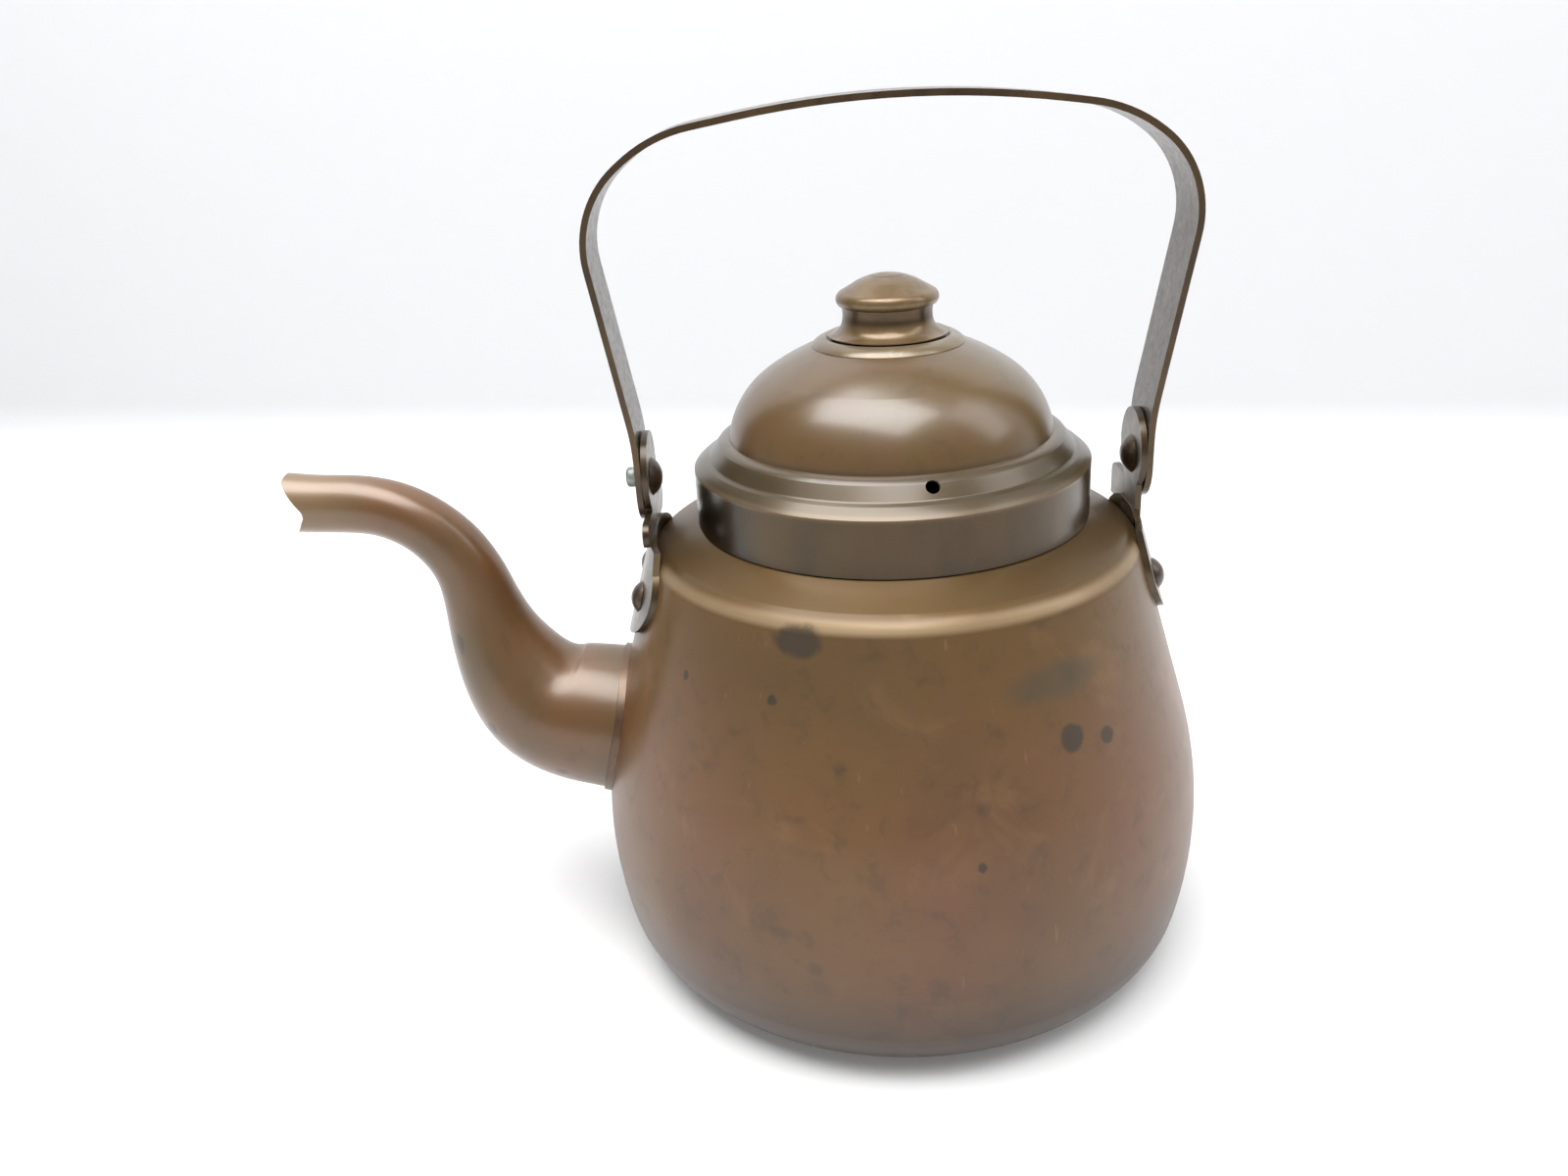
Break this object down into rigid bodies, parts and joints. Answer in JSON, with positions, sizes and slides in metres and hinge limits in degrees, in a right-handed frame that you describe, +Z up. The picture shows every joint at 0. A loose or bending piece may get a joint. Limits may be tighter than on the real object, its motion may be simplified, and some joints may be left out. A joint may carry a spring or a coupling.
{
  "type": "copper kettle",
  "caption": "Aged copper stovetop kettle: wide low belly, S-curved spout, flat-strip swing bail on riveted ears and a domed slip-over lid with a turned knob.",
  "frame": {"origin": "centre of the flat base, on the plane the kettle stands on and on the body's own axis", "axes": "+Z up along the body's axis; the spout points along -X; the bail's pivot line runs along X; +Y points away from the side that faces the viewer"},
  "size_m": [0.2272, 0.155, 0.2136],
  "materials": {
    "body_copper": "aged satin copper, red-brown, softly mottled",
    "spout_copper": "aged satin copper with worn highlights",
    "solder_band": "dull soldered copper band",
    "ear_brass": "dull grey-brown brass, slightly greenish",
    "rivet_copper": "dull brown rivets with worn crowns",
    "bail_copper": "brown edges and worn, reflective grey-tan faces",
    "lid_copper": "aged satin copper, olive-brown, bright worn rim",
    "knob_copper": "turned, aged satin",
    "screw_steel": "dull",
    "washer_brass": "dull"
  },
  "bodies": {
    "kettle": {"body_shell": "body_copper", "base_plate": "body_copper", "spout": "spout_copper", "spout_collar": "solder_band", "front_ear": "ear_brass", "rear_ear": "ear_brass", "front_ear_rivets": "rivet_copper", "rear_ear_rivets": "rivet_copper", "front_pivot_rivet": "rivet_copper", "rear_pivot_rivet": "rivet_copper"},
    "bail": {"bail_strip": "bail_copper"},
    "lid": {"lid_shell": "lid_copper", "lid_knob": "knob_copper", "knob_foot": "knob_copper", "knob_screw": "screw_steel", "knob_washer": "washer_brass"}
  },
  "joints": [
    {"name": "bail_pivot", "type": "hinge", "parent": "kettle", "child": "bail", "pos_m": [0, 0, 0.1273], "axis": [1, 0, 0], "range_deg": [-118, 118]},
    {"name": "lid_lift", "type": "slide", "parent": "kettle", "child": "lid", "axis": [0, 0, 1], "range_m": [0, 0.03]}
  ]
}
